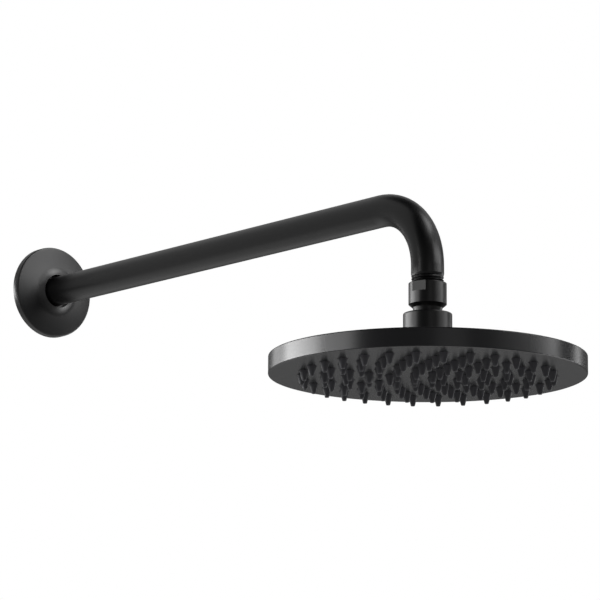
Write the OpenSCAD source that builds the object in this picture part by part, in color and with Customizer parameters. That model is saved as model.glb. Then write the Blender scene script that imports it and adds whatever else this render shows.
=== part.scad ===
// Wall-mounted shower arm with a round rain head on a ball joint.
// Millimetres. The origin is on the arm's axis at the wall plane, +Z is up and the arm runs out along -Y.

/* [Arm] */
// Distance from the wall to the centre of the head
arm_reach = 406.4; // [300:0.1:500]
// Height from the arm's axis down to the end of the tube
arm_drop = 50.1; // [45:0.1:120]
// Centreline radius of the bend
bend_radius = 43.3; // [32:0.1:48]
// Outside diameter of the arm tube
tube_d = 21.3; // [20:0.1:23.5]
// Wall thickness of the arm tube
tube_wall = 1.5; // [1.2:0.1:1.8]

/* [Wall end] */
// Length of the male thread behind the wall plane
wall_thread_length = 18; // [12:0.5:30]
// Outside diameter of the wall flange
flange_d = 67; // [60:0.5:85]
// Thickness of the wall flange at its rim
flange_rim = 5.7; // [4.5:0.1:7]
// Depth of the wall flange at its neck
flange_depth = 18; // [14:0.1:20]

/* [Connector] */
// Length of thread left in sight between the tube and the connector
thread_show = 4.7; // [2:0.1:10]
// Diameter of the connector's body
nut_d = 24.5; // [24:0.1:26]
// Length of the connector's round body
nut_length = 13.9; // [13:0.1:20]
// Distance across the connector's two wrench flats
flats_across = 22.5; // [21.8:0.1:23.4]
// Length of the wrench flats
flats_length = 6.4; // [4:0.1:9]
// Diameter of the ball
ball_d = 24; // [23.6:0.1:24.4]
// Diameter of the collar that holds the ball
collar_d = 31.5; // [31:0.1:36]

/* [Head] */
// Diameter of the rain head
head_d = 203.2; // [150:0.1:305]
// Thickness of the rain head at its rim
head_rim = 12; // [11.8:0.1:16]
// Rise of the head's domed cover above its rim, at the centre
dome_rise = 8.5; // [8.4:0.1:12]

/* [Nozzles] */
// Plain margin from the outer ring of nozzles to the edge of the head
plain_margin = 21.6; // [20:0.1:30]
// Radius of the innermost ring of nozzles
first_ring = 10; // [9:0.1:12]
// Angle of the line on which every ring has a nozzle
nozzle_turn = 29.4; // [0:0.1:71]
// Length of a nozzle below the face
nozzle_length = 6.3; // [4:0.1:8]
// Diameter of a nozzle at the face
nozzle_base_d = 6.2; // [5:0.1:7]
// Diameter of a nozzle at its tip
nozzle_tip_d = 2.7; // [2:0.1:3.5]

/* [Hidden] */
$fn = 96;

// tube and threaded ends
thread_r = 20.955 / 2;        // G1/2 crest radius, male
thread_slack = 0.1;           // from the male crest to the female root
water_r = 6.5;                // water way through the nipples
spigot_gap = 0.05;            // solder gap of the nipples in the tube
wall_spigot = 12;             // how far the wall nipple stands in the tube
outlet_spigot = 5;
end_taper = 1.3;              // eased end of the tube, length and depth
end_edge = 0.35;
screwed_in = 8.2;             // thread inside the connector
tube_r = tube_d / 2;
tube_in = tube_r - tube_wall;
bend_r = min(bend_radius, arm_drop - outlet_spigot - 0.5);
leg_y = arm_reach - bend_r;   // end of the straight run

// connector
nut_r = nut_d / 2;
nut_edge = 0.4;               // rounding of the body's top edge
flats_turn = 17;              // turn of the flats from the X axis
taper_length = 2.25;
taper_r = 9.6;
neck_length = 2.5;
neck_r = 9.1;
throat_length = 1.5;
throat_r = 7;                 // where the neck meets the ball
bore_r = 5;                   // water way through the ball
washer_t = 2;
washer_in = 7.8;
washer_out = 10.2;
screen_t = 0.5;
screen_dome = 9;              // radius of the filter's dome
screen_low = 6;               // centre of the dome below the socket's floor
screen_in = 6.8;
pocket_r = 7.5;
pocket_t = 4;
regulator_gap = 0.1;
regulator_groove = 1.1;
regulator_hole = 0.9;
regulator_ring = 3.6;

// ball joint
ball_r = ball_d / 2;
ball_drop = 13.65;            // ball's centre below the taper
ball_gap = 0.08;              // running gap round the ball
seat_r = ball_r + ball_gap;   // inside of both seats
seat_t = 1.6;
seat_slack = 0.25;
upper_out = seat_r + seat_t;  // outside of the upper seat
catch_r = upper_out + seat_slack; // inside of the collar round the upper seat
collar_r = collar_d / 2;
collar_up = 10;               // collar's upper end above the ball's centre
collar_down = 6;              // and its lower end below
collar_edge = 1;
mouth_r = 12.7;               // collar's opening at the top
lip_angle = 58;               // edge of the collar's lip, from straight up
seat_top_angle = 55;
seat_end_angle = 82;
seat_split = 1.4;             // lower seat's top below the ball's centre
seat_depth = 11;              // lower seat's end below the ball's centre
seat_in = 9.6;
seal_ring = 8.5;
seal_section = 1;

// boss and lock nut
thread_gap = 0.05;
boss_r = catch_r - thread_gap;// outside of the boss inside the collar
boss_in = seat_r + 0.55;      // bore that holds the lower seat
boss_top = 1.5;               // boss's upper end below the ball's centre
boss_flange = 2.5;
crown_r = 20;                 // flat pad in the middle of the cover
crown_drop = 9.7;             // pad below the ball's centre
boss_ring = 16.65;
boss_ring_section = 0.7;
groove_w = 2.3;
groove_t = 1.46;
lock_r = 17.5;
lock_t = 3;
lock_slot = 1.2;

// heights on the head's axis
z_tube_end = -arm_drop;
z_nut_top = z_tube_end - thread_show;
z_flat_end = z_nut_top - flats_length;
z_nut_end = z_nut_top - nut_length;
z_taper_end = z_nut_end - taper_length;
z_neck_end = z_taper_end - neck_length;
z_ball = z_taper_end - ball_drop;
z_nipple_end = z_nut_top - screwed_in;
z_washer_end = z_nipple_end - washer_t;
z_socket = z_washer_end - screen_t;
z_pocket = z_socket - pocket_t;
z_crown = z_ball - crown_drop;
z_rim = z_crown - dome_rise;  // top of the rim
z_face = z_rim - head_rim;
z_tip = z_face - nozzle_length;

// head
head_r = head_d / 2;
rim_wall = 2;
rim_edge = 0.7;               // rounding of the rim's edges
rim_seam = 0.25;              // seam between the rim and the cover
face_t = 2;
cover_t = 2.4;
cover_r = head_r - rim_wall - rim_seam;
skirt_w = 3.2;
dome_drop = dome_rise + rim_seam; // from the crown to the cover's edge
dome_R = (pow(cover_r - crown_r, 2) + pow(dome_drop, 2)) / (2 * dome_drop);
cover_ring_section = 1;
cover_ring_drop = 2.3;        // O-ring below the cover's edge
rib_w = 1.6;
rib_n = 10;
rib_h = 3;
rib_line = [crown_r + 1.5 * rib_w, (crown_r + cover_r) / 2, cover_r - 0.8 * skirt_w];

// Middle of the cover's thickness at radius r from the head's axis.
function rib_top(r) = z_crown - dome_R + sqrt(pow(dome_R, 2) - pow(r - crown_r, 2)) - cover_t / 2;

// nozzles and the plates that hold them
ring_pitch = (head_r - plain_margin - first_ring) / 5;
nozzle_gap = 0.3;             // round a nozzle in its hole
nozzle_hole_r = nozzle_base_d / 2 + nozzle_gap;
nozzle_in = 1.3;
jet_r = 0.6;
strip_t = 1.6;
post_r = 2.6;
strip_gap = 0.15;            // from a strip to a screw post
strip_w = ring_pitch / 2 - post_r - strip_gap;
clamp_t = 2.5;
feed_r = 1.6;
z_strip = z_face + face_t;    // nozzle strips lie on the face plate
z_clamp = z_strip + strip_t;
z_chamber = z_clamp + clamp_t;
screw_head_r = 2.7;
screw_head_t = 1.6;
screw_shank = 1.2;
screw_gap = 0.05;
screw_ring = [first_ring + 2.5 * ring_pitch, head_r - 12];
screw_n = [5, 10];
spreader_r = 15;
spreader_t = 1.5;
spreader_up = 2.4;
spreader_post = 1.8;

// wall flange
flange_r = flange_d / 2;
flange_edge = 1.2;            // rounding of the rim
flange_bore = tube_r + 0.35;
flange_lip = 0.5;             // thickness of the neck's end
neck_slope = 75;              // slope of the sweep where the neck ends
dome = 120;                   // radius of the domed face
face_wall = 2.2;              // wall of the face over the hollow
grip_section = 1;             // section radius of the O-ring on the tube
grip_gap = 0.03;
grip_up = 4.75;               // distance of the O-ring from the wall
gasket_w = 4;
gasket_t = 2;
gasket_edge = 3.5;            // land outside the gasket
gasket_land = 2;              // land inside the gasket
hub_w = 4.4;
hub_t = 1;

black = "#2b2b2d";
brass = "#b08d4a";
rubber = "#222224";
steel = "#a9abad";
plastic = "#d8d8d4";
grey = "#5a5c60";

// A ring or disc on the head's axis between two heights.
module ring(r_out, r_in, z_top, z_low) {
    translate([0, -arm_reach, z_low])
        difference() {
            cylinder(r = r_out, h = z_top - z_low);
            if (r_in > 0)
                translate([0, 0, -1])
                    cylinder(r = r_in, h = z_top - z_low + 2);
        }
}

// A profile of radius and height, turned about the head's axis.
module turned() {
    translate([0, -arm_reach, 0])
        rotate_extrude()
            children();
}

// A profile of radius and distance from the wall, turned about the arm's axis.
module turned_arm() {
    rotate([90, 0, 0])
        rotate_extrude()
            children();
}

// An O-ring on the head's axis.
module o_ring(r, z, section) {
    turned()
        translate([r, z])
            circle(r = section);
}

// The path of the tube, filled to a radius.
module tube_fill(r) {
    rotate([90, 0, 0])
        cylinder(r = r, h = leg_y);
    translate([0, -leg_y, -bend_r])
        rotate([0, -90, 0])
            rotate([0, 0, -90])
                rotate_extrude(angle = 90)
                    translate([bend_r, 0])
                        circle(r = r);
    translate([0, -arm_reach, z_tube_end])
        cylinder(r = r, h = -bend_r - z_tube_end);
}

module arm_tube() {
    color(black)
        difference() {
            tube_fill(tube_r);
            tube_fill(tube_in);
            // eased end above the outlet's thread
            turned()
                polygon([[tube_r, z_tube_end + end_taper], [tube_r - end_edge, z_tube_end], [tube_r - end_edge, z_tube_end - 1], [tube_r + 1, z_tube_end - 1], [tube_r + 1, z_tube_end + end_taper]]);
        }
}

// Threaded end soldered into the tube at the wall.
module wall_nipple() {
    color(brass)
        difference() {
            union() {
                translate([0, wall_thread_length, 0])
                    rotate([90, 0, 0])
                        cylinder(r = thread_r, h = wall_thread_length);
                rotate([90, 0, 0])
                    cylinder(r = tube_in - spigot_gap, h = wall_spigot);
            }
            translate([0, wall_thread_length + 1, 0])
                rotate([90, 0, 0])
                    cylinder(r = water_r, h = wall_thread_length + wall_spigot + 2);
        }
}

// Threaded end soldered into the tube above the connector.
module outlet_nipple() {
    color(brass)
        translate([0, -arm_reach, 0])
            difference() {
                union() {
                    translate([0, 0, z_nipple_end])
                        cylinder(r = thread_r, h = z_tube_end - z_nipple_end);
                    translate([0, 0, z_tube_end])
                        cylinder(r = tube_in - spigot_gap, h = outlet_spigot);
                }
                translate([0, 0, z_nipple_end - 1])
                    cylinder(r = water_r, h = z_tube_end - z_nipple_end + outlet_spigot + 2);
            }
}

// Cover disc that slides along the tube and hides the hole in the wall.
module wall_flange() {
    face_r = flange_r - flange_edge;
    dome_y = flange_rim - sqrt(dome * dome - face_r * face_r);
    // the rounding of the rim touches the dome
    edge_y = dome_y + sqrt(pow(dome - flange_edge, 2) - face_r * face_r);
    edge_x = face_r * dome / (dome - flange_edge);
    // the sweep touches the dome, and has the neck's slope at the neck's end
    end_r = flange_bore + flange_lip;
    end_up = flange_depth - dome_y;
    sweep_r = (end_r * end_r + end_up * end_up - dome * dome) / (2 * (dome - end_r * sin(neck_slope) - end_up * cos(neck_slope)));
    sweep_x = end_r + sweep_r * sin(neck_slope);
    sweep_y = flange_depth + sweep_r * cos(neck_slope);
    color(black)
        turned_arm()
            difference() {
                union() {
                    intersection() {
                        translate([0, dome_y])
                            circle(r = dome, $fn = 1440);
                        translate([flange_bore, 0])
                            square([edge_x - flange_bore, flange_depth]);
                    }
                    translate([flange_bore, 0])
                        square([flange_r - flange_bore, edge_y]);
                    translate([face_r, edge_y])
                        circle(r = flange_edge);
                    difference() {
                        translate([flange_bore, hub_t])
                            square([sweep_x * dome / (dome + sweep_r) - flange_bore, flange_depth - hub_t]);
                        translate([sweep_x, sweep_y])
                            circle(r = sweep_r, $fn = 480);
                    }
                }
                // groove for the O-ring
                translate([flange_bore - 1, grip_up - 1.15 * grip_section])
                    square([tube_r + grip_gap + 2.02 * grip_section - flange_bore + 1, 2.3 * grip_section]);
                // seat of the gasket
                translate([flange_r - gasket_edge - gasket_w, -1])
                    square([gasket_w, gasket_t + 1]);
                // hollow behind the face
                intersection() {
                    translate([0, dome_y])
                        circle(r = dome - face_wall, $fn = 1440);
                    translate([tube_r + hub_w, -1])
                        square([flange_r - gasket_edge - gasket_w - gasket_land - tube_r - hub_w, flange_depth]);
                }
                translate([flange_bore - 1, -1])
                    square([tube_r + hub_w - flange_bore + 1, hub_t + 1]);
            }
}

module flange_o_ring() {
    color(rubber)
        turned_arm()
            translate([tube_r + grip_gap + grip_section, grip_up])
                circle(r = grip_section);
}

module flange_gasket() {
    color(rubber)
        turned_arm()
            translate([flange_r - gasket_edge - gasket_w, 0])
                square([gasket_w, gasket_t]);
}

// Socket, wrench flats, neck and ball in one piece.
module ball_connector() {
    color(black)
        difference() {
            union() {
                difference() {
                    turned()
                        union() {
                            translate([0, z_nut_end])
                                square([nut_r, nut_length - nut_edge]);
                            translate([0, z_nut_end])
                                square([nut_r - nut_edge, nut_length]);
                            translate([nut_r - nut_edge, z_nut_top - nut_edge])
                                circle(r = nut_edge);
                            polygon([[0, z_nut_end], [nut_r, z_nut_end], [taper_r, z_taper_end], [neck_r, z_neck_end], [throat_r, z_neck_end - throat_length], [throat_r, z_ball + ball_r / 2], [0, z_ball + ball_r / 2]]);
                        }
                    for (side = [0, 1])
                        translate([0, -arm_reach, z_flat_end])
                            rotate([0, 0, flats_turn + 180 * side])
                                translate([flats_across / 2, -nut_d, 0])
                                    cube([nut_r, 2 * nut_d, nut_length]);
                }
                translate([0, -arm_reach, z_ball])
                    sphere(r = ball_r);
            }
            ring(thread_r + thread_slack, 0, z_nut_top + 1, z_socket);
            ring(pocket_r, 0, z_socket + 1, z_pocket);
            ring(bore_r, 0, z_pocket + 1, z_ball - ball_r - 1);
        }
}

module inlet_washer() {
    color(rubber)
        ring(washer_out, washer_in, z_nipple_end, z_washer_end);
}

// Domed mesh that stops grit; the dome stands up inside the washer.
module filter_screen() {
    color(steel)
        turned()
            difference() {
                union() {
                    translate([screen_in - screen_t, z_socket])
                        square([washer_out - screen_in + screen_t, screen_t]);
                    intersection() {
                        translate([0, z_socket - screen_low])
                            circle(r = screen_dome);
                        translate([0, z_socket])
                            square([screen_in, screen_dome]);
                    }
                }
                intersection() {
                    translate([0, z_socket - screen_low])
                        circle(r = screen_dome - screen_t);
                    translate([-1, z_socket - 1])
                        square([screen_in - screen_t + 1, screen_dome]);
                }
            }
}

module flow_regulator() {
    color(plastic)
        difference() {
            turned()
                difference() {
                    translate([0, z_pocket + regulator_gap])
                        square([pocket_r - regulator_gap, pocket_t - 2 * regulator_gap]);
                    translate([pocket_r - regulator_gap - regulator_groove, z_pocket + pocket_t / 2 - regulator_groove * 0.7])
                        square([2 * regulator_groove, regulator_groove * 1.4]);
                }
            for (i = [0:5])
                translate([regulator_ring * cos(60 * i), -arm_reach + regulator_ring * sin(60 * i), z_pocket - 1])
                    cylinder(r = regulator_hole, h = pocket_t + 2);
        }
}

module regulator_o_ring() {
    color(rubber)
        o_ring(pocket_r - regulator_groove / 2, z_pocket + pocket_t / 2, regulator_groove / 2);
}

// Seat ring over the ball's shoulder, inside the collar.
module upper_ball_seat() {
    color(plastic)
        turned()
            translate([0, z_ball])
                difference() {
                    intersection() {
                        circle(r = upper_out);
                        polygon([[0, 0], [2 * upper_out * sin(seat_top_angle), 2 * upper_out * cos(seat_top_angle)], [2 * upper_out * sin(seat_end_angle), 2 * upper_out * cos(seat_end_angle)]]);
                    }
                    circle(r = seat_r);
                }
}

// Seat ring under the ball, in the boss.
module lower_ball_seat() {
    color(plastic)
        turned()
            translate([0, z_ball])
                difference() {
                    translate([seat_in, -seat_depth])
                        square([boss_in - thread_gap - seat_in, seat_depth - seat_split]);
                    circle(r = seat_r);
                }
}

module ball_seal_ring() {
    color(rubber)
        o_ring(seal_ring, z_ball - sqrt(pow(seat_r + seal_section, 2) - pow(seal_ring, 2)), seal_section);
}

// Round collar that screws down over the ball.
module swivel_collar() {
    lip_r = catch_r * sin(lip_angle);
    lip_h = catch_r * cos(lip_angle);
    color(black)
        turned()
            translate([0, z_ball])
                difference() {
                    union() {
                        translate([0, -collar_down])
                            square([collar_r, collar_down + collar_up - collar_edge]);
                        translate([0, -collar_down])
                            square([collar_r - collar_edge, collar_down + collar_up]);
                        translate([collar_r - collar_edge, collar_up - collar_edge])
                            circle(r = collar_edge);
                    }
                    // flared mouth for the neck
                    polygon([[-1, lip_h - 0.01], [lip_r, lip_h - 0.01], [lip_r, lip_h], [mouth_r, collar_up], [mouth_r, collar_up + 1], [-1, collar_up + 1]]);
                    // round hollow for the upper seat, then the thread's bore
                    intersection() {
                        circle(r = catch_r);
                        translate([-1, 0])
                            square([2 * catch_r, 2 * catch_r]);
                    }
                    translate([-1, -collar_down - 1])
                        square([catch_r + 1, collar_down + 1]);
                }
}

// Brass boss: it goes up through the cover, takes the collar and leads the water in.
module head_boss() {
    color(brass)
        turned()
            difference() {
                union() {
                    translate([0, z_crown - cover_t - boss_flange / 2])
                        square([boss_r, crown_drop - boss_top + cover_t + boss_flange / 2]);
                    translate([0, z_crown - cover_t - boss_flange])
                        square([crown_r, boss_flange]);
                }
                translate([-1, z_ball - seat_depth - 2 * thread_gap])
                    square([boss_in + 1, seat_depth + boss_top]);
                translate([-1, z_crown - cover_t - boss_flange - 1])
                    square([water_r + 1, crown_drop + boss_flange]);
                translate([boss_ring - groove_w / 2, z_crown - cover_t - groove_t])
                    square([groove_w, groove_t + 1]);
            }
}

module boss_o_ring() {
    color(rubber)
        o_ring(boss_ring, z_crown - cover_t - groove_t / 2, boss_ring_section);
}

// Thin round nut with four spanner slots, over the cover.
module boss_lock_nut() {
    color(brass)
        difference() {
            ring(lock_r, catch_r, z_crown + lock_t, z_crown);
            for (i = [0:3])
                translate([0, -arm_reach, z_crown])
                    rotate([0, 0, 45 + 90 * i])
                        translate([lock_r - lock_slot, -lock_t / 2, lock_t / 3])
                            cube([lock_r, lock_t, lock_t]);
        }
}

// Domed upper cover with ribs under it, set down inside the rim.
module top_cover() {
    z_edge = z_crown - dome_drop;
    z_low = z_chamber + 0.05;
    color(black) {
        difference() {
            union() {
                turned()
                    difference() {
                        union() {
                            translate([0, z_crown - cover_t])
                                square([crown_r, cover_t]);
                            intersection() {
                                translate([crown_r, z_crown - dome_R])
                                    circle(r = dome_R);
                                translate([crown_r, z_low])
                                    square([cover_r - crown_r, z_crown - z_low]);
                            }
                        }
                        intersection() {
                            translate([crown_r, z_crown - dome_R])
                                circle(r = dome_R - cover_t);
                            translate([crown_r, z_low - 5])
                                square([cover_r - skirt_w - crown_r, z_crown - z_low + 5]);
                        }
                        // groove for the seal
                        translate([cover_r - 1.9 * cover_ring_section, z_edge - cover_ring_drop - 1.1 * cover_ring_section])
                            square([3 * cover_ring_section, 2.2 * cover_ring_section]);
                    }
                intersection() {
                    turned()
                        polygon([
                            for (r = rib_line) [r, rib_top(r)],
                            for (i = [2:-1:0]) [rib_line[i], rib_top(rib_line[i]) - rib_h]
                        ]);
                    for (i = [0:rib_n - 1])
                        translate([0, -arm_reach, z_low])
                            rotate([0, 0, nozzle_turn + 360 * i / rib_n])
                                translate([crown_r, -rib_w / 2, 0])
                                    cube([head_r, rib_w, z_crown - z_low]);
                }
            }
            ring(boss_r + 2 * thread_gap, 0, z_crown + 1, z_crown - cover_t - 1);
        }
    }
}

module cover_seal() {
    color(rubber)
        o_ring(head_r - rim_wall - 1.03 * cover_ring_section, z_crown - dome_drop - cover_ring_drop, cover_ring_section);
}

// Disc under the inlet that turns the water outwards.
module flow_spreader() {
    color(grey) {
        ring(spreader_r, 0, z_chamber + spreader_up + spreader_t, z_chamber + spreader_up);
        for (i = [0:3])
            translate([spreader_r * 2 / 3 * cos(45 + 90 * i), -arm_reach + spreader_r * 2 / 3 * sin(45 + 90 * i), z_chamber])
                cylinder(r = spreader_post, h = spreader_up);
    }
}

// Outline of every nozzle of one ring, as circles.
module nozzle_circles(k, r) {
    for (i = [0:5 * k - 1])
        rotate([0, 0, nozzle_turn + 360 * i / (5 * k)])
            translate([first_ring + ring_pitch * (k - 1), 0])
                circle(r = r);
}

module screw_circles(r) {
    for (j = [0, 1])
        for (i = [0:screw_n[j] - 1])
            rotate([0, 0, nozzle_turn + 6 + 360 * i / screw_n[j]])
                translate([screw_ring[j], 0])
                    circle(r = r);
}

// Plate that presses the nozzle strips onto the face plate and feeds each nozzle.
module clamp_plate() {
    color(grey)
        translate([0, -arm_reach, z_clamp])
            linear_extrude(clamp_t)
                difference() {
                    circle(r = cover_r - rim_seam / 2);
                    for (k = [1:6])
                        nozzle_circles(k, feed_r);
                    screw_circles(screw_shank + 0.5);
                }
}

module clamp_screws() {
    color(steel)
        translate([0, -arm_reach, 0]) {
            translate([0, 0, z_chamber])
                linear_extrude(screw_head_t)
                    screw_circles(screw_head_r);
            translate([0, 0, z_strip + 2 * screw_gap])
                linear_extrude(z_chamber - z_strip - 2 * screw_gap)
                    screw_circles(screw_shank);
        }
}

// One ring-shaped silicone strip with its cone nozzles.
module nozzle_ring(k) {
    r0 = first_ring + ring_pitch * (k - 1);
    color(rubber)
        translate([0, -arm_reach, 0])
            difference() {
                union() {
                    translate([0, 0, z_strip])
                        linear_extrude(strip_t)
                            difference() {
                                circle(r = r0 + strip_w);
                                circle(r = r0 - strip_w);
                            }
                    for (i = [0:5 * k - 1])
                        rotate([0, 0, nozzle_turn + 360 * i / (5 * k)])
                            translate([r0, 0, 0])
                                rotate_extrude()
                                    polygon([[0, z_tip], [nozzle_tip_d / 2, z_tip], [nozzle_base_d / 2, z_face], [nozzle_base_d / 2, z_strip + strip_t / 2], [0, z_strip + strip_t / 2]]);
                }
                translate([0, 0, z_face])
                    linear_extrude(face_t + strip_t + 1)
                        nozzle_circles(k, nozzle_in);
                translate([0, 0, z_tip - 1])
                    linear_extrude(nozzle_length + face_t + strip_t)
                        nozzle_circles(k, jet_r);
            }
}

module nozzle_ring_1() nozzle_ring(1);
module nozzle_ring_2() nozzle_ring(2);
module nozzle_ring_3() nozzle_ring(3);
module nozzle_ring_4() nozzle_ring(4);
module nozzle_ring_5() nozzle_ring(5);
module nozzle_ring_6() nozzle_ring(6);

// Spray face and rim in one piece, with a hole for every nozzle and a post for every screw.
module face_plate() {
    color(black)
        difference() {
            union() {
                turned()
                    difference() {
                        union() {
                            translate([0, z_face])
                                square([head_r - rim_edge, head_rim]);
                            translate([0, z_face + rim_edge])
                                square([head_r, head_rim - 2 * rim_edge]);
                            translate([head_r - rim_edge, z_face + rim_edge])
                                circle(r = rim_edge);
                            translate([head_r - rim_edge, z_rim - rim_edge])
                                circle(r = rim_edge);
                        }
                        translate([-1, z_strip])
                            square([head_r - rim_wall + 1, head_rim]);
                    }
                translate([0, -arm_reach, z_strip])
                    linear_extrude(strip_t)
                        screw_circles(post_r);
            }
            translate([0, -arm_reach, z_face - 1])
                linear_extrude(face_t + 2)
                    for (k = [1:6])
                        nozzle_circles(k, nozzle_hole_r);
            translate([0, -arm_reach, z_strip])
                linear_extrude(strip_t + 1)
                    screw_circles(screw_shank + screw_gap);
        }
}

arm_tube();
wall_nipple();
outlet_nipple();
wall_flange();
flange_o_ring();
flange_gasket();
ball_connector();
inlet_washer();
filter_screen();
flow_regulator();
regulator_o_ring();
upper_ball_seat();
lower_ball_seat();
ball_seal_ring();
swivel_collar();
head_boss();
boss_o_ring();
boss_lock_nut();
top_cover();
cover_seal();
flow_spreader();
clamp_plate();
clamp_screws();
nozzle_ring_1();
nozzle_ring_2();
nozzle_ring_3();
nozzle_ring_4();
nozzle_ring_5();
nozzle_ring_6();
face_plate();
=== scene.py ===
"""Looks for a wall-mounted shower arm with a round rain head, in matt black."""

import math

import bpy
import numpy as np
from mathutils import Matrix, Vector


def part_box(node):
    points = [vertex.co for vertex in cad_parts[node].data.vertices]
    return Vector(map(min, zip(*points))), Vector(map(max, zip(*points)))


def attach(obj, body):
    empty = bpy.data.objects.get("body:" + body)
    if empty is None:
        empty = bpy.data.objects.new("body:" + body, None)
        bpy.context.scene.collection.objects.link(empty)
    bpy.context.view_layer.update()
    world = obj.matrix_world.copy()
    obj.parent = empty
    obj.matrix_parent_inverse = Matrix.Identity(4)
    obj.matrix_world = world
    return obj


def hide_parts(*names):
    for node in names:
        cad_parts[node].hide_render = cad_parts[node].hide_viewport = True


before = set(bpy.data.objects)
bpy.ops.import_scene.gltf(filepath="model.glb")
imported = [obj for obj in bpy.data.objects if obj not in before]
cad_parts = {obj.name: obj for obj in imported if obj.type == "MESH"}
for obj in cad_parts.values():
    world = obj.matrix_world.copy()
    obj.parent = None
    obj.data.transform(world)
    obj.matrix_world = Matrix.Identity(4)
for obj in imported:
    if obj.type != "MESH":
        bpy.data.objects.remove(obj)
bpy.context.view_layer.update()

MM = 0.001

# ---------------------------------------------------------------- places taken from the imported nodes
HEAD_Y = (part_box("head_boss")[0].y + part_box("head_boss")[1].y) / 2
FACE_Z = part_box("face_plate")[0].z
TUBE_END_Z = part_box("arm_tube")[0].z
TUBE_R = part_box("arm_tube")[1].x


# ---------------------------------------------------------------- small tools
def linear(colour):
    """sRGB hex to linear red, green, blue and an alpha of 1."""
    channels = np.array([int(colour[i:i + 2], 16) for i in (1, 3, 5)]) / 255
    low, high = channels / 12.92, ((channels + 0.055) / 1.055) ** 2.4
    return (*np.where(channels <= 0.04045, low, high).tolist(), 1.0)


def add(tree, kind, values=None, links=None, **settings):
    """Adds one node, with its own settings, the values of its sockets and the sockets that feed it."""
    made = tree.nodes.new(kind)
    for name, value in settings.items():
        setattr(made, name, value)
    for name, value in (values or {}).items():
        made.inputs[name].default_value = value
    for name, source in (links or {}).items():
        tree.links.new(source, made.inputs[name])
    return made


def place_in_scene(name, data):
    """An object with that data, linked into the scene."""
    made = bpy.data.objects.new(name, data)
    bpy.context.scene.collection.objects.link(made)
    return made


def surface(name, points, faces, material, body, *nodes, slot, crease=35):
    """Makes one mesh piece from points and faces in metres, smooth except at creases, and lets it ride.

    Body is what it rides on, and nodes are the names of what it replaces.
    """
    mesh = bpy.data.meshes.new(name)
    mesh.from_pydata(points.reshape(-1, 3).tolist(), [], faces.reshape(-1, 4).tolist())
    mesh.update()
    mesh.shade_smooth()
    mesh.set_sharp_from_angle(angle=math.radians(crease))
    mesh.materials.append(material)
    piece = place_in_scene(name, mesh)
    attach(piece, body)
    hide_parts(*nodes)


def closed_grid(rows, columns, flip=False):
    """Faces of a grid of rows x columns points that closes on itself in both directions."""
    r, c = np.meshgrid(np.arange(rows), np.arange(columns), indexing="ij")
    r2, c2 = (r + 1) % rows, (c + 1) % columns
    quads = np.stack([r * columns + c, r * columns + c2, r2 * columns + c2, r2 * columns + c], -1)
    return (quads[..., ::-1] if flip else quads).reshape(-1, 4)


# ---------------------------------------------------------------- threads
THREAD_PITCH = 25.4 / 14 * MM   # 14 threads to the inch
THREAD_DEPTH = 1.16 * MM
THREAD_CHAMFER = 0.9 * MM       # the thread's free end is cut back over this length
STRAIGHT_FLANK = 0.45           # the share of the ridge's shape that is straight, the rest is rounded
RUN_OUT_CUT = 0.3               # how deep the thread is at the spigot, as a share of its full depth
RUN_OUT_TURNS = 1.5
SPIGOT_CHAMFER = 0.4 * MM


def threaded_tube(length, spigot_r, spigot, crest_r, bore_r, columns=96, rows_per_turn=14):
    """A nipple along +h: spigot for h < 0, thread for h from 0 to length, with a water bore.

    Outside radius = crest - depth x cut x (1 - wave), where wave runs once in each pitch of
    (h / pitch - angle / full turn), so the ridge climbs one pitch in each turn.
    The ridge's flanks are straight and its crest and root are rounded. Cut is the run-out of
    the die: it grows from 0.3 at the spigot to 1 over the first turn and a half.
    """
    rows = int(round(length / THREAD_PITCH * rows_per_turn))
    h = np.concatenate([[-spigot, -spigot, -spigot + SPIGOT_CHAMFER, 0],
                        np.linspace(0, length, rows), [length]])
    plain_r = np.concatenate([[bore_r, spigot_r - SPIGOT_CHAMFER, spigot_r, spigot_r],
                              np.full(rows, crest_r), [bore_r]])
    threaded = np.concatenate([np.zeros(4), np.ones(rows), [0]])
    fade = np.clip((length - h) / THREAD_CHAMFER, 0, 1)
    angle = np.linspace(0, 2 * np.pi, columns, endpoint=False)
    turn = h[:, None] / THREAD_PITCH - angle[None, :] / (2 * np.pi)
    tri = 1 - np.abs(2 * (turn % 1) - 1)
    wave = STRAIGHT_FLANK * tri + (1 - STRAIGHT_FLANK) * tri * tri * (3 - 2 * tri)
    cut = RUN_OUT_CUT + (1 - RUN_OUT_CUT) * np.clip(h / (RUN_OUT_TURNS * THREAD_PITCH), 0, 1)
    r = plain_r[:, None] - THREAD_DEPTH * (threaded * cut)[:, None] * (1 - wave * fade[:, None])
    return r * np.cos(angle), r * np.sin(angle), np.repeat(h[:, None], columns, 1)


# ---------------------------------------------------------------- materials
GLOSS_PATCHES = 22.0    # to the metre: gloss drifts over about 45 mm
STAINS = 90.0           # to the metre: tarnish drifts over about 11 mm


def new_material(name):
    """An empty material, and its node tree."""
    material = bpy.data.materials.new(name)
    material.use_nodes = True
    tree = material.node_tree
    tree.nodes.clear()
    return material, tree


def finish_with(tree, shader):
    """Sends the shader to the material's output."""
    add(tree, "ShaderNodeOutputMaterial", links={"Surface": shader.outputs[0]})


def shade(tree, values, tone, gloss, relief):
    """The surface's shader, fed with its tone, gloss and relief."""
    finish_with(tree, add(tree, "ShaderNodeBsdfPrincipled", values, {
        "Base Color": tone.outputs["Color"], "Roughness": gloss.outputs["Result"],
        "Normal": relief.outputs["Normal"]}))


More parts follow.
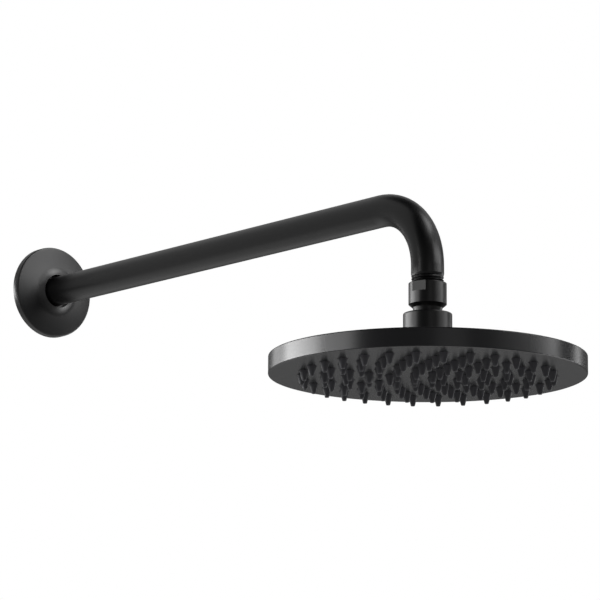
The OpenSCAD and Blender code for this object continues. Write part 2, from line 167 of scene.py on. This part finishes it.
def painted(name, colour, roughness, spread, grain_mm, bump, wear="#161617"):
    """A black coat with a fine pebble of grain_mm, slow drift in gloss, and a faint rub on raised places."""
    material, tree = new_material(name)
    place = add(tree, "ShaderNodeTexCoord")
    pebble = add(tree, "ShaderNodeTexNoise", {"Scale": 1 / (grain_mm * MM), "Detail": 2.0, "Roughness": 0.55},
                 {"Vector": place.outputs["Object"]})
    drift = add(tree, "ShaderNodeTexNoise", {"Scale": GLOSS_PATCHES, "Detail": 3.0, "Roughness": 0.6},
                {"Vector": place.outputs["Object"]})
    gloss = add(tree, "ShaderNodeMapRange",
                {"From Min": 0.3, "From Max": 0.7,
                 "To Min": roughness - spread, "To Max": roughness + spread},
                {"Value": drift.outputs["Fac"]})
    rubbed = add(tree, "ShaderNodeMapRange",
                 {"From Min": 0.55, "From Max": 0.9, "To Min": 0.0, "To Max": 0.5},
                 {"Value": pebble.outputs["Fac"]})
    tone = add(tree, "ShaderNodeMixRGB", {"Color1": linear(colour), "Color2": linear(wear)},
               {"Fac": rubbed.outputs["Result"]})
    relief = add(tree, "ShaderNodeBump", {"Strength": bump, "Distance": 0.03 * MM},
                 {"Height": pebble.outputs["Fac"]})
    shade(tree, {"IOR": 1.5}, tone, gloss, relief)
    return material


def moulded(name, colour, fleck, roughness, ior, grain_mm, bump, subsurface=0.0):
    """Moulded rubber or plastic: an even colour with a fine flow fleck and a soft satin skin."""
    material, tree = new_material(name)
    place = add(tree, "ShaderNodeTexCoord")
    grain = add(tree, "ShaderNodeTexNoise", {"Scale": 1 / (grain_mm * MM), "Detail": 3.0, "Roughness": 0.6},
                {"Vector": place.outputs["Object"]})
    tone = add(tree, "ShaderNodeMixRGB", {"Color1": linear(colour), "Color2": linear(fleck)},
               {"Fac": grain.outputs["Fac"]})
    gloss = add(tree, "ShaderNodeMapRange", {"To Min": roughness - 0.05, "To Max": roughness + 0.05},
                {"Value": grain.outputs["Fac"]})
    relief = add(tree, "ShaderNodeBump", {"Strength": bump, "Distance": 0.02 * MM},
                 {"Height": grain.outputs["Fac"]})
    shade(tree, {"IOR": ior, "Subsurface Weight": subsurface, "Subsurface Radius": (2 * MM, 2 * MM, 2 * MM)},
          tone, gloss, relief)
    return material


def turned_metal(name, colour, tint, roughness, line_mm, axis, centre):
    """Metal cut on a lathe: fine rings along the axis, a slightly uneven tarnish."""
    material, tree = new_material(name)
    place = add(tree, "ShaderNodeTexCoord")
    moved = add(tree, "ShaderNodeMapping", {"Location": tuple(-v for v in centre)},
                {"Vector": place.outputs["Object"]})
    split = add(tree, "ShaderNodeSeparateXYZ", links={"Vector": moved.outputs["Vector"]})
    rings = add(tree, "ShaderNodeTexNoise", {"Scale": 1 / (line_mm * MM), "Detail": 2.0},
                {"W": split.outputs[axis]}, noise_dimensions="1D")
    stain = add(tree, "ShaderNodeTexNoise", {"Scale": STAINS, "Detail": 4.0},
                {"Vector": place.outputs["Object"]})
    tone = add(tree, "ShaderNodeMixRGB", {"Color1": linear(colour), "Color2": linear(tint)},
               {"Fac": stain.outputs["Fac"]})
    gloss = add(tree, "ShaderNodeMapRange", {"To Min": roughness - 0.08, "To Max": roughness + 0.08},
                {"Value": rings.outputs["Fac"]})
    relief = add(tree, "ShaderNodeBump", {"Strength": 0.25, "Distance": 0.02 * MM},
                 {"Height": rings.outputs["Fac"]})
    shade(tree, {"Metallic": 1.0}, tone, gloss, relief)
    return material


# Epoxy-polyester powder coat, sprayed and baked on brass: a deep black with a broad soft highlight and a
# faint pebble. On such a coat it is about 0.3 mm across; it is drawn at 0.9 mm, coarse enough to show.
arm_coat = painted("black_powder_coat_on_brass", "#070708", 0.34, 0.02, 0.9, 0.4)
# The same coat on the smaller turned parts, a little thinner, so their highlights are tighter. Its pebble
# is drawn at 0.7 mm.
fitting_coat = painted("black_powder_coat_on_turned_brass", "#0a0a0b", 0.33, 0.02, 0.7, 0.3)
# Matt lacquer on moulded ABS: flatter and smoother than the powder coat, with a soft wide sheen. Its grain
# is well under 0.1 mm; it is drawn at 0.5 mm, coarse enough to show.
shell_lacquer = painted("black_matt_lacquer_on_moulded_abs", "#222224", 0.26, 0.01, 0.5, 0.012,
                        wear="#29292b")
# Liquid silicone rubber from a polished mould: smooth, a clearly greyer black than the lacquer round it.
nozzle_silicone = moulded("black_moulded_silicone_rubber", "#434347", "#49494d", 0.46, 1.41, 0.6, 0.1)
# Peroxide-cured EPDM seals: dull black with a dusty skin.
seal_epdm = moulded("black_moulded_epdm_rubber", "#101010", "#1b1b1b", 0.62, 1.5, 0.4, 0.5)
# Natural acetal, injection moulded: waxy white that lets a little light in.
seat_acetal = moulded("white_moulded_acetal", "#deddd6", "#e6e5df", 0.4, 1.48, 1.5, 0.2, 0.15)
# Grey ABS from a plain mould: an even mid-dark grey.
plate_abs = moulded("grey_moulded_abs", "#3c3e41", "#45474a", 0.45, 1.53, 1.2, 0.3)
# CZ122 brass as turned: warm yellow with fine cutting rings. They are about 0.1 mm apart on such a part,
# and are drawn at 0.25 mm, coarse enough to show.
boss_brass = turned_metal("turned_brass", "#d3b063", "#bb9450", 0.28, 0.25, "Z", (0, HEAD_Y, 0))
# The lower nipple is turned and threaded in brass, then sprayed with the arm, so its thread is black. The
# wall nipple stays bare. The coat's pebble is drawn at 0.6 mm.
thread_coat = painted("black_powder_coat_on_cut_thread", "#0a0a0b", 0.38, 0.03, 0.6, 0.4)
# 304 stainless: the pressed screen and the screws, cool grey with a drawn finish. Its lines are finer than
# 0.1 mm, and are drawn at 0.3 mm, coarse enough to show.
steel_finish = turned_metal("drawn_stainless_steel", "#b4b6b8", "#a2a5a8", 0.3, 0.3, "Z", (0, HEAD_Y, 0))

FINISHES = {
    "arm_tube": arm_coat, "wall_flange": arm_coat,
    "ball_connector": fitting_coat, "swivel_collar": fitting_coat,
    "top_cover": shell_lacquer, "face_plate": shell_lacquer,
    "flange_o_ring": seal_epdm, "flange_gasket": seal_epdm, "inlet_washer": seal_epdm,
    "regulator_o_ring": seal_epdm, "ball_seal_ring": seal_epdm, "boss_o_ring": seal_epdm,
    "cover_seal": seal_epdm,
    "flow_regulator": seat_acetal, "upper_ball_seat": seat_acetal, "lower_ball_seat": seat_acetal,
    "flow_spreader": plate_abs, "clamp_plate": plate_abs,
    "head_boss": boss_brass, "boss_lock_nut": boss_brass,
    "filter_screen": steel_finish, "clamp_screws": steel_finish,
}
for node_name, finish in FINISHES.items():
    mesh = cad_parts[node_name].data
    mesh.materials.clear()
    mesh.materials.append(finish)


# ---------------------------------------------------------------- threaded nipples
WATER_R = 6.5 * MM
CREST_R = 20.955 / 2 * MM
TUBE_WALL = 1.55 * MM           # with the solder gap


def outlet_nipple():
    """The lower nipple: soldered in the tube's end, its thread runs down into the ball connector."""
    low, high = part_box("outlet_nipple")
    x, y, h = threaded_tube(TUBE_END_Z - low.z, TUBE_R - TUBE_WALL, high.z - TUBE_END_Z, CREST_R, WATER_R)
    points = np.stack([x, HEAD_Y - y, TUBE_END_Z - h], -1)
    surface("outlet_nipple_threaded", points, closed_grid(*x.shape), thread_coat, "arm", "outlet_nipple",
            slot="brass")


def wall_nipple():
    """The wall nipple: soldered in the tube's other end, its thread runs back into the wall."""
    low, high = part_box("wall_nipple")
    x, y, h = threaded_tube(high.y, TUBE_R - TUBE_WALL, -low.y, CREST_R, WATER_R)
    points = np.stack([x, h, y], -1)
    surface("wall_nipple_threaded", points, closed_grid(*x.shape, flip=True), boss_brass, "arm",
            "wall_nipple", slot="brass")


outlet_nipple()
wall_nipple()


# ---------------------------------------------------------------- wall flange
FLANGE_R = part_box("wall_flange")[1].x
RIM_HEIGHT, RIM_EDGE = 5.7 * MM, 1.2 * MM
FACE_DOME, SHELL = 150 * MM, 2.2 * MM
SWEEP, MOUTH_R, MOUTH_SLOPE, LIP = 14 * MM, 12.43 * MM, math.radians(36), 0.15 * MM
HUB_R, HOLLOW_R = 15.05 * MM, 24 * MM


def arc(r, y, radius, start, end, count):
    """Points on a circle about (r, y), from one angle to another in radians; 0 looks away from the wall."""
    turn = np.linspace(start, end, count)
    return np.stack([r + radius * np.sin(turn), y + radius * np.cos(turn)], -1)


def turned_flange():
    """The wall flange: one closed profile turned about the tube's axis, from a hollow back to an open mouth.

    Height y of the face over the wall is y0 + root(dome^2 - r^2). A quarter round joins it to the rim's
    wall, and a circle that touches it sweeps up to the mouth, where its slope is 36 degrees and a small
    round leads into the bore. The bore is undercut behind the mouth, steps in to a close fit, and widens
    again for the O-ring.
    """
    rim_r = FLANGE_R - RIM_EDGE
    y0 = RIM_HEIGHT - math.sqrt(FACE_DOME ** 2 - rim_r ** 2)
    edge = math.asin(rim_r / (FACE_DOME - RIM_EDGE))
    edge_y = y0 + math.sqrt((FACE_DOME - RIM_EDGE) ** 2 - rim_r ** 2)
    sweep_r = MOUTH_R + SWEEP * math.sin(MOUTH_SLOPE)
    sweep_y = y0 + math.sqrt((FACE_DOME + SWEEP) ** 2 - sweep_r ** 2)
    start = math.asin(sweep_r / (FACE_DOME + SWEEP))
    mouth_y = sweep_y - SWEEP * math.cos(MOUTH_SLOPE)
    lip_r, lip_y = MOUTH_R - LIP * math.sin(MOUTH_SLOPE), mouth_y - LIP * math.cos(MOUTH_SLOPE)
    hollow = FACE_DOME - SHELL
    # Corners as radius and height in millimetres: of the bore, the groove with its hub, and the gasket's seat.
    bore = np.array([(12.9, -0.9), (12.9, -4.5), (11.0, -4.7)]) * MM + (0, mouth_y)
    groove = np.array([(11.0, 5.9), (12.75, 5.9), (12.75, 3.6), (11.0, 3.6), (11.0, 1.0), (15.05, 1.0)]) * MM
    gasket_seat = np.array([(24, 0), (26, 0), (26, 2), (30, 2), (30, 0)]) * MM
    r, y = np.concatenate([
        arc(rim_r, edge_y, RIM_EDGE, math.pi / 2, edge, 7),
        arc(0, y0, FACE_DOME, edge, start, 24)[1:-1],
        arc(sweep_r, sweep_y, SWEEP, math.pi + start, math.pi + MOUTH_SLOPE, 14),
        arc(lip_r, lip_y, LIP, MOUTH_SLOPE, -math.pi / 2, 7)[1:],
        bore, groove,
        arc(0, y0, hollow, math.asin(HUB_R / hollow), math.asin(HOLLOW_R / hollow), 6),
        gasket_seat, [(FLANGE_R, 0)]]).T
    angle = np.linspace(0, 2 * np.pi, 160, endpoint=False)
    points = np.stack([r[:, None] * np.cos(angle), np.repeat(-y[:, None], len(angle), 1),
                       r[:, None] * np.sin(angle)], -1)
    surface("wall_flange_turned", points, closed_grid(len(r), len(angle)), arm_coat, "flange", "wall_flange",
            slot="black_metal")


turned_flange()


# ---------------------------------------------------------------- nozzles
STRIP_HALF = 4.25 * MM
STRIP_BACK = 2 * MM             # the strip's underside, above the spray face
NECK_IN = 0.8 * MM              # how far a nozzle's neck reaches into its strip
FOOT_R, TIP_R = 3.1 * MM, 1.35 * MM
CONE_HOLLOW, TIP_ROUND = 0.06 * MM, 0.22 * MM
JET_R, JET_LENGTH, WATERWAY_R = 0.6 * MM, 2.5 * MM, 1.3 * MM
NOZZLE_TURN = math.radians(29.4)


def nozzle_ring(k):
    """One ring of 5k rubber nozzles on its flat strip.

    A nozzle is a profile turned about its own axis: from the strip down a straight neck, out to a
    small foot at the face, along a slightly hollow cone to a rounded lip, and back up the jet hole.
    The strip is a flat ring with a rectangular section.
    """
    low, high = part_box("nozzle_ring_%d" % k)
    ring_r = (high.x - low.x) / 2 - STRIP_HALF
    tip, top, strip = low.z, high.z, FACE_Z + STRIP_BACK
    share = np.array([0.0, 0.10, 0.45, 0.82, 0.96, 1.0])
    cone = FOOT_R - CONE_HOLLOW * np.sin(np.pi * share) + (TIP_R - FOOT_R) * share
    cone[-1] -= TIP_ROUND
    r = np.concatenate([[FOOT_R], cone, [JET_R, JET_R, WATERWAY_R, WATERWAY_R]])
    z = np.concatenate([[strip + NECK_IN], FACE_Z - (FACE_Z - tip) * share,
                        [tip, tip + JET_LENGTH, FACE_Z, strip + NECK_IN]])
    count, columns = 5 * k, 12
    own = np.linspace(0, 2 * np.pi, columns, endpoint=False)
    place = NOZZLE_TURN + 2 * np.pi * np.arange(count) / count
    x = ring_r * np.cos(place)[:, None, None] + (r[:, None] * np.cos(own))[None]
    y = HEAD_Y + ring_r * np.sin(place)[:, None, None] + (r[:, None] * np.sin(own))[None]
    points = np.stack([x, y, np.broadcast_to(z[:, None], x.shape)], -1).reshape(-1, 3)
    first = (np.arange(count) * len(r) * columns)[:, None, None]
    faces = (closed_grid(len(r), columns)[None] + first).reshape(-1, 4)
    around = np.linspace(0, 2 * np.pi, 32 * k + 32, endpoint=False)
    strip_r = ring_r + np.array([-1, 1, 1, -1]) * STRIP_HALF
    strip_z = np.array([strip, strip, top, top])
    band = np.stack([strip_r[:, None] * np.cos(around), HEAD_Y + strip_r[:, None] * np.sin(around),
                     np.repeat(strip_z[:, None], len(around), 1)], -1).reshape(-1, 3)
    faces = np.concatenate([faces, closed_grid(len(strip_r), len(around), flip=True) + len(points)])
    surface("nozzle_ring_%d_moulded" % k, np.concatenate([points, band]), faces, nozzle_silicone, "head",
            "nozzle_ring_%d" % k, slot="silicone", crease=50)


for ring in range(1, 7):
    nozzle_ring(ring)


# ---------------------------------------------------------------- studio
SENSOR, LENS = 36, 179.48       # millimetres
VIEW_AZIMUTH, VIEW_ELEVATION, VIEW_ROLL = -41.164, -11.55, 0.441    # degrees
PIVOT = Vector((0, -0.200, -0.030))
SHIFT_RIGHT, SHIFT_UP, VIEW_DISTANCE = 0.054275, -0.004834, 2.071133
AIM = Vector((0, HEAD_Y, -0.06))
FLANGE_FACE = Vector((0, -0.01, 0))
LAMP_GAIN = 0.194               # brightness that a lamp's surface gets from one watt on each square metre
DOME_R = 3.3
DOME_LEVEL = 0.10               # the dome's tone at the head's own height
DOME_HIGH = (0.01, 0.55)        # higher up: on the camera's side, and beyond the head
DOME_LOW = (0.30, 0.75)         # low down: on the camera's side, and beyond the head
FLOOR_R, FLOOR_Z = 3.0, -2.42


def camera():
    """A long lens well below the arm's height, looking up at the face of the head.

    It looks at the pivot from its azimuth and elevation, is rolled, and is then shifted in its own plane.
    Returns the direction from the object back to the camera.
    """
    azimuth, elevation, roll = (math.radians(v) for v in (VIEW_AZIMUTH, VIEW_ELEVATION, VIEW_ROLL))
    back = Vector((math.sin(azimuth) * math.cos(elevation), -math.cos(azimuth) * math.cos(elevation),
                   math.sin(elevation)))
    right = Vector((math.cos(azimuth), math.sin(azimuth), 0))
    up = back.cross(right)
    level = math.cos(roll) * right + math.sin(roll) * up
    top = math.cos(roll) * up - math.sin(roll) * right
    data = bpy.data.cameras.new("camera")
    data.sensor_width, data.lens, data.clip_end = SENSOR, LENS, 100
    seen = place_in_scene("camera", data)
    seen.matrix_world = Matrix((level, top, back)).transposed().to_4x4()
    seen.matrix_world.translation = PIVOT + SHIFT_RIGHT * level + SHIFT_UP * top + VIEW_DISTANCE * back
    bpy.context.scene.camera = seen
    return back


TO_CAMERA = camera()


def toward(azimuth, elevation):
    """A direction: azimuth in degrees round from the camera's side, elevation in degrees above the level."""
    a = math.atan2(TO_CAMERA.y, TO_CAMERA.x) + math.radians(azimuth)
    e = math.radians(elevation)
    return Vector((math.cos(a) * math.cos(e), math.sin(a) * math.cos(e), math.sin(e)))


def softbox(name, azimuth, elevation, width, height, level, lean=0.0, distance=2.4, aim=AIM, spread=180):
    """An area lamp that faces its aim from that direction, turned by lean degrees about its own axis.

    Level is how bright the lamp's own surface is, where 1 is white. A spread under 180 degrees is a
    honeycomb grid on the lamp: only what lies inside that angle of the beam sees it.
    """
    data = bpy.data.lights.new(name, "AREA")
    data.shape, data.size, data.size_y = "RECTANGLE", width, height
    data.energy = level * width * height / LAMP_GAIN
    data.spread = math.radians(spread)
    direction = toward(azimuth, elevation)
    turn = Matrix.Rotation(math.radians(lean), 3, direction) @ direction.to_track_quat("Z", "Y").to_matrix()
    lamp = place_in_scene(name, data)
    lamp.matrix_world = turn.to_4x4()
    lamp.matrix_world.translation = aim + distance * direction
    lamp.visible_camera = False


def card(name, x, outline, material):
    """A flat card in the studio, upright at that x with an outline in y and z, that isn't seen itself."""
    mesh = bpy.data.meshes.new(name)
    mesh.from_pydata([(x, y, z) for y, z in outline], [], [tuple(range(len(outline)))])
    mesh.materials.append(material)
    place_in_scene(name, mesh).visible_camera = False


def glow(name, colour, strength):
    """A card's own even tone, whatever falls on it."""
    material, tree = new_material(name)
    finish_with(tree, add(tree, "ShaderNodeEmission", {"Color": linear(colour), "Strength": strength}))
    return material


def ease(value, low, high):
    """0 below low, 1 above high, and a smooth s-curve between them."""
    t = np.clip((value - low) / (high - low), 0, 1)
    return t * t * (3 - 2 * t)


def blend(start, end, share):
    """Start where share is 0, end where it is 1, and an even mix between."""
    return start + (end - start) * share


def studio_dome():
    """A grey dome round the head that only reflections and soft light see.

    A point is the head's centre plus a fixed radius in the direction of an azimuth (0 toward the camera)
    and an elevation. Its tone is dark grey at the head's own height. On the camera's side it eases to
    near black higher up and to mid grey low down; beyond the head it is lighter in both places. Overhead
    it is black.
    """
    azimuth, elevation = np.meshgrid(np.radians(np.arange(0, 360, 5.0)), np.radians(np.linspace(-42, 88, 40)))
    turn = math.atan2(TO_CAMERA.y, TO_CAMERA.x) + azimuth
    points = np.stack([np.cos(turn) * np.cos(elevation), np.sin(turn) * np.cos(elevation),
                       np.sin(elevation)], -1) * DOME_R + np.array(AIM)
    rows, columns = azimuth.shape
    r, c = np.meshgrid(np.arange(rows - 1), np.arange(columns), indexing="ij")
    c2 = (c + 1) % columns
    faces = np.stack([r * columns + c, r * columns + c2, (r + 1) * columns + c2, (r + 1) * columns + c], -1)
    away = np.degrees(np.abs((azimuth + np.pi) % (2 * np.pi) - np.pi))
    up = np.degrees(elevation)
    beyond = ease(away, 60, 120)
    tone = blend(DOME_LEVEL, blend(*DOME_HIGH, beyond), ease(up, 12, 40))
    tone = tone * (1 - ease(up, 45, 62))
    tone = blend(tone, blend(*DOME_LOW, beyond), ease(-up, 10, 32))
    mesh = bpy.data.meshes.new("studio_dome")
    mesh.from_pydata(points.reshape(-1, 3).tolist(), [], faces.reshape(-1, 4).tolist())
    mesh.attributes.new("tone", "FLOAT", "POINT").data.foreach_set("value", tone.ravel().astype(np.float32))
    material, tree = new_material("grey_studio_dome")
    grey = add(tree, "ShaderNodeAttribute", attribute_name="tone")
    finish_with(tree, add(tree, "ShaderNodeEmission", links={"Strength": grey.outputs["Fac"]}))
    mesh.materials.append(material)
    place_in_scene("studio_dome", mesh).visible_camera = False


def floor():
    """A plain pale disc, well below the arm."""
    angle = np.linspace(0, 2 * np.pi, 96, endpoint=False)
    points = np.stack([FLOOR_R * np.cos(angle), HEAD_Y + FLOOR_R * np.sin(angle),
                       np.full(len(angle), FLOOR_Z)], -1)
    material, tree = new_material("pale_floor")
    finish_with(tree, add(tree, "ShaderNodeBsdfPrincipled",
                          {"Base Color": linear("#f2f1ef"), "Roughness": 0.7}))
    mesh = bpy.data.meshes.new("floor")
    mesh.from_pydata(points.tolist(), [], [list(range(len(angle)))])
    mesh.materials.append(material)
    place_in_scene("floor", mesh)


def sky():
    """White behind the object, and a plain level of grey for the soft light it gives."""
    world = bpy.data.worlds.new("studio")
    bpy.context.scene.world = world
    world.use_nodes = True
    tree = world.node_tree
    tree.nodes.clear()
    path = add(tree, "ShaderNodeLightPath")
    either = add(tree, "ShaderNodeMath", operation="MAXIMUM",
                 links={0: path.outputs["Is Camera Ray"], 1: path.outputs["Is Glossy Ray"]})
    white = add(tree, "ShaderNodeMath", operation="MAXIMUM",
                links={0: either.outputs[0], 1: path.outputs["Is Transmission Ray"]})
    strength = add(tree, "ShaderNodeMapRange", {"To Min": 0.6, "To Max": 1.0}, {"Value": white.outputs[0]})
    light = add(tree, "ShaderNodeBackground", {"Color": (1, 1, 1, 1)},
                {"Strength": strength.outputs["Result"]})
    add(tree, "ShaderNodeOutputWorld", links={"Surface": light.outputs[0]})


sky()
floor()
studio_dome()
# Grey card beside the arm, which keeps the left lamps off the tube, the bend and the leg below it.
card("arm_card", -0.035, [(-0.402, -0.046), (-0.33, -0.042), (-0.30, -0.03), (-0.05, -0.03), (-0.012, -0.012),
                          (0.0, -0.012), (0.0, 0.016), (-0.05, 0.05), (-0.12, 0.1), (-0.402, 0.1)],
     glow("grey_card", "#ffffff", 0.46))
softbox("left_softbox", -103, 5, 1.7, 0.55, 6.8)
softbox("left_front_softbox", -68, 6, 1.1, 0.8, 2.1)
softbox("left_back_softbox", -134, 6, 1.1, 0.8, 1.2)
softbox("front_softbox", 14, 1, 0.9, 0.8, 0.35)
softbox("right_softbox", 78, 22, 2.3, 0.75, 2.4, lean=-15)
softbox("right_back_softbox", 129, -22, 0.5, 3.1, 1.7, lean=-4)
# Three small lamps with grids, close to the wall flange, which light hardly anything else.
softbox("flange_softbox", 78, 50, 0.8, 0.5, 0.3, distance=0.6, aim=FLANGE_FACE, spread=50)
softbox("flange_front_softbox", 28, 33, 0.3, 0.3, 0.2, distance=0.6, aim=FLANGE_FACE, spread=50)
softbox("flange_low_softbox", 108, -24, 0.4, 0.3, 0.12, distance=0.6, aim=FLANGE_FACE, spread=50)

bpy.context.scene.view_settings.view_transform = "Standard"
